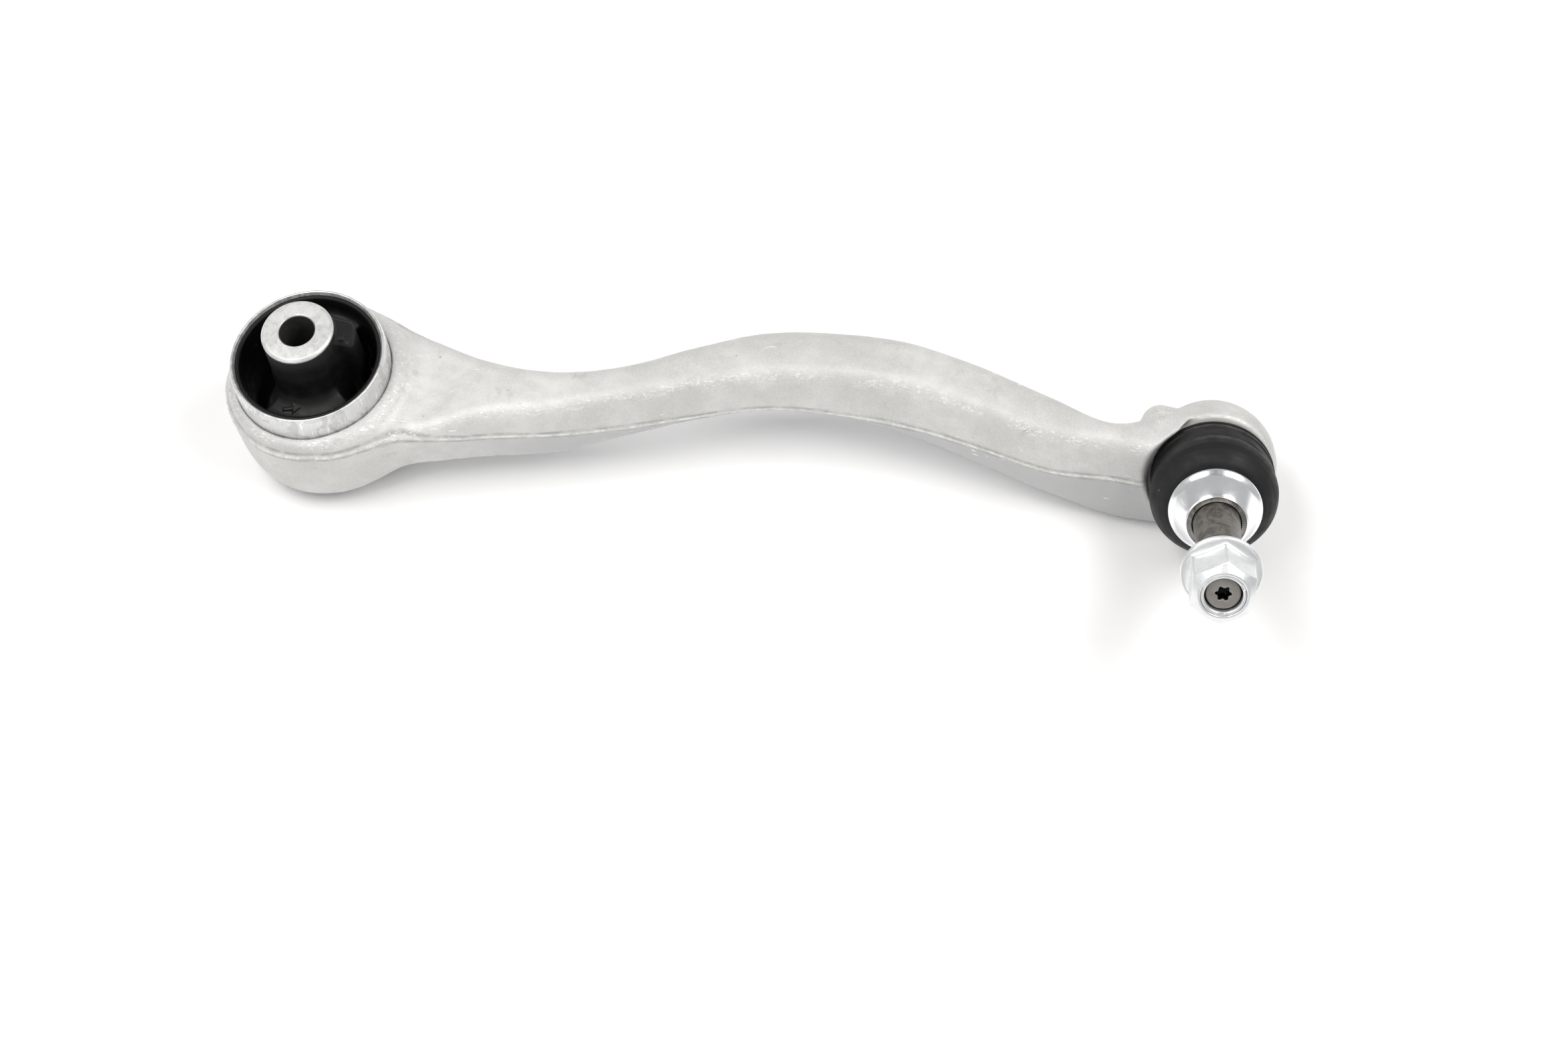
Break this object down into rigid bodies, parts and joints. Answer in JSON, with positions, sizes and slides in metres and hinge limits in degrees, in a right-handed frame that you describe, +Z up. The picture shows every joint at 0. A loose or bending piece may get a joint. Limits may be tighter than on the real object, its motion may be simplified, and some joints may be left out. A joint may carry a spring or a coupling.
{
  "type": "suspension control arm",
  "caption": "Curved forged suspension control arm with a pressed rubber bush at one end and a booted ball joint with a tapered stud and flange nut at the other.",
  "frame": {"origin": "centre of the bush's inner sleeve, on the axis of its bolt bore", "axes": "+X from the bush to the ball joint, +Y away from the side that the stud points to, +Z up with the arm lying at rest"},
  "size_m": [0.3747, 0.1451, 0.0809],
  "materials": {
    "forged_aluminium": "shot-blasted forging",
    "machined_aluminium": "turned, scratched",
    "faced_aluminium": "fine faced",
    "bush_rubber": "moulded rubber, slight sheen",
    "boot_rubber": "satin rubber",
    "seat_polymer": "moulded acetal",
    "zinc_steel": "bright zinc plate",
    "spring_steel": "dark oiled wire",
    "phosphated_steel": "phosphated, smudged",
    "zinc_flake": "zinc-flake coating"
  },
  "bodies": {
    "arm": {"arm_body": "forged_aluminium", "bush_outer_sleeve": "machined_aluminium", "ball_seat": "seat_polymer", "closing_cap": "zinc_steel", "boot_lower_clamp_ring": "spring_steel"},
    "bush_core": {"bush_rubber": "bush_rubber"},
    "bush_sleeve": {"bush_inner_sleeve": "faced_aluminium"},
    "boot": {"sealing_boot": "boot_rubber"},
    "boot_lip": {"boot_upper_clamp_ring": "spring_steel"},
    "stud": {"ball_stud": "phosphated_steel", "seal_collar": "zinc_steel"},
    "nut": {"flange_nut": "zinc_flake", "nut_lock_ring": "zinc_flake"}
  },
  "joints": [
    {"name": "bush_tilt", "type": "hinge", "parent": "arm", "child": "bush_core", "pos_m": [0, 0, 0], "axis": [0, 1, 0], "range_deg": [-4, 4], "stiffness_Nm_per_rad": 300, "deforming": ["bush_rubber"]},
    {"name": "bush_twist", "type": "hinge", "parent": "bush_core", "child": "bush_sleeve", "pos_m": [0, 0, 0], "axis": [-0.0941, 0, 0.9956], "range_deg": [-20, 20], "stiffness_Nm_per_rad": 110},
    {"name": "stud_swing_up", "type": "hinge", "parent": "arm", "child": "boot", "pos_m": [0.3185, -0.0306, -0.0111], "axis": [0.9956, -0.0941, 0], "range_deg": [-20, 20], "deforming": ["sealing_boot"]},
    {"name": "stud_swing_side", "type": "hinge", "parent": "boot", "child": "boot_lip", "pos_m": [0.3185, -0.0306, -0.0111], "axis": [0.0489, 0.5172, 0.8545], "range_deg": [-20, 20]},
    {"name": "stud_spin", "type": "hinge", "parent": "boot_lip", "child": "stud", "pos_m": [0.3185, -0.0306, -0.0111], "axis": [-0.0804, -0.8507, 0.5195], "continuous": true},
    {"name": "nut_travel", "type": "slide", "parent": "stud", "child": "nut", "axis": [-0.0804, -0.8507, 0.5195], "range_m": [0, 0.022]}
  ]
}
